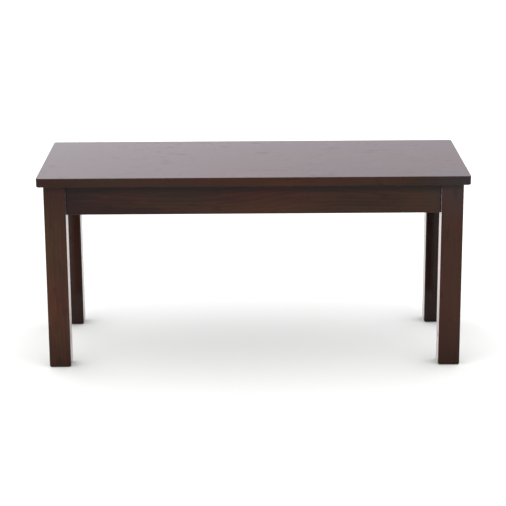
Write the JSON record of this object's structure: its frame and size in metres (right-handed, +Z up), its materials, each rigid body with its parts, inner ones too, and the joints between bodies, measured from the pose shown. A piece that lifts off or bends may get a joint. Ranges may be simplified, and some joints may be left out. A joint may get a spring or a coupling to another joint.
{
  "type": "backless pew bench",
  "caption": "Backless wooden pew bench: a flat edge-glued seat on square legs, with stepped-back aprons, corner blocks and hanger bolts underneath.",
  "frame": {"origin": "on the floor, under the middle of the seat", "axes": "+X along the bench's length, to the right as seen from the front; +Y to the rear; +Z up"},
  "size_m": [0.99, 0.406, 0.457],
  "materials": {
    "seat_wood": "dark brown stain under smooth satin lacquer",
    "leg_wood": "dark brown stain under smooth satin lacquer",
    "apron_wood": "dark brown stain under smooth satin lacquer",
    "block_wood": "bare planed wood",
    "frame_wood": "bare planed wood",
    "dowel_wood": "bare turned wood",
    "bolt_steel": "bright zinc plate",
    "screw_steel": "yellow zinc plate"
  },
  "bodies": {
    "root": {"apron_front": "apron_wood", "apron_left": "apron_wood", "apron_rear": "apron_wood", "apron_right": "apron_wood", "block_screws_front_left": "screw_steel", "block_screws_front_right": "screw_steel", "block_screws_rear_left": "screw_steel", "block_screws_rear_right": "screw_steel", "block_seat_screws": "screw_steel", "bolt_nut_front_left": "bolt_steel", "bolt_nut_front_right": "bolt_steel", "bolt_nut_rear_left": "bolt_steel", "bolt_nut_rear_right": "bolt_steel", "cleat_front_left": "frame_wood", "cleat_front_right": "frame_wood", "cleat_rear_left": "frame_wood", "cleat_rear_right": "frame_wood", "cleat_screws": "screw_steel", "cleat_seat_screws": "screw_steel", "corner_block_front_left": "block_wood", "corner_block_front_right": "block_wood", "corner_block_rear_left": "block_wood", "corner_block_rear_right": "block_wood", "cross_rail": "frame_wood", "flat_washer_front_left": "bolt_steel", "flat_washer_front_right": "bolt_steel", "flat_washer_rear_left": "bolt_steel", "flat_washer_rear_right": "bolt_steel", "hanger_bolt_front_left": "bolt_steel", "hanger_bolt_front_right": "bolt_steel", "hanger_bolt_rear_left": "bolt_steel", "hanger_bolt_rear_right": "bolt_steel", "leg_dowels_front_left": "dowel_wood", "leg_dowels_front_right": "dowel_wood", "leg_dowels_rear_left": "dowel_wood", "leg_dowels_rear_right": "dowel_wood", "leg_front_left": "leg_wood", "leg_front_right": "leg_wood", "leg_rear_left": "leg_wood", "leg_rear_right": "leg_wood", "rail_dowels": "dowel_wood", "rail_seat_screws": "screw_steel", "seat_board_1": "seat_wood", "seat_board_2": "seat_wood", "seat_board_3": "seat_wood", "seat_board_4": "seat_wood", "seat_board_5": "seat_wood", "spring_washer_front_left": "bolt_steel", "spring_washer_front_right": "bolt_steel", "spring_washer_rear_left": "bolt_steel", "spring_washer_rear_right": "bolt_steel"}
  },
  "joints": []
}
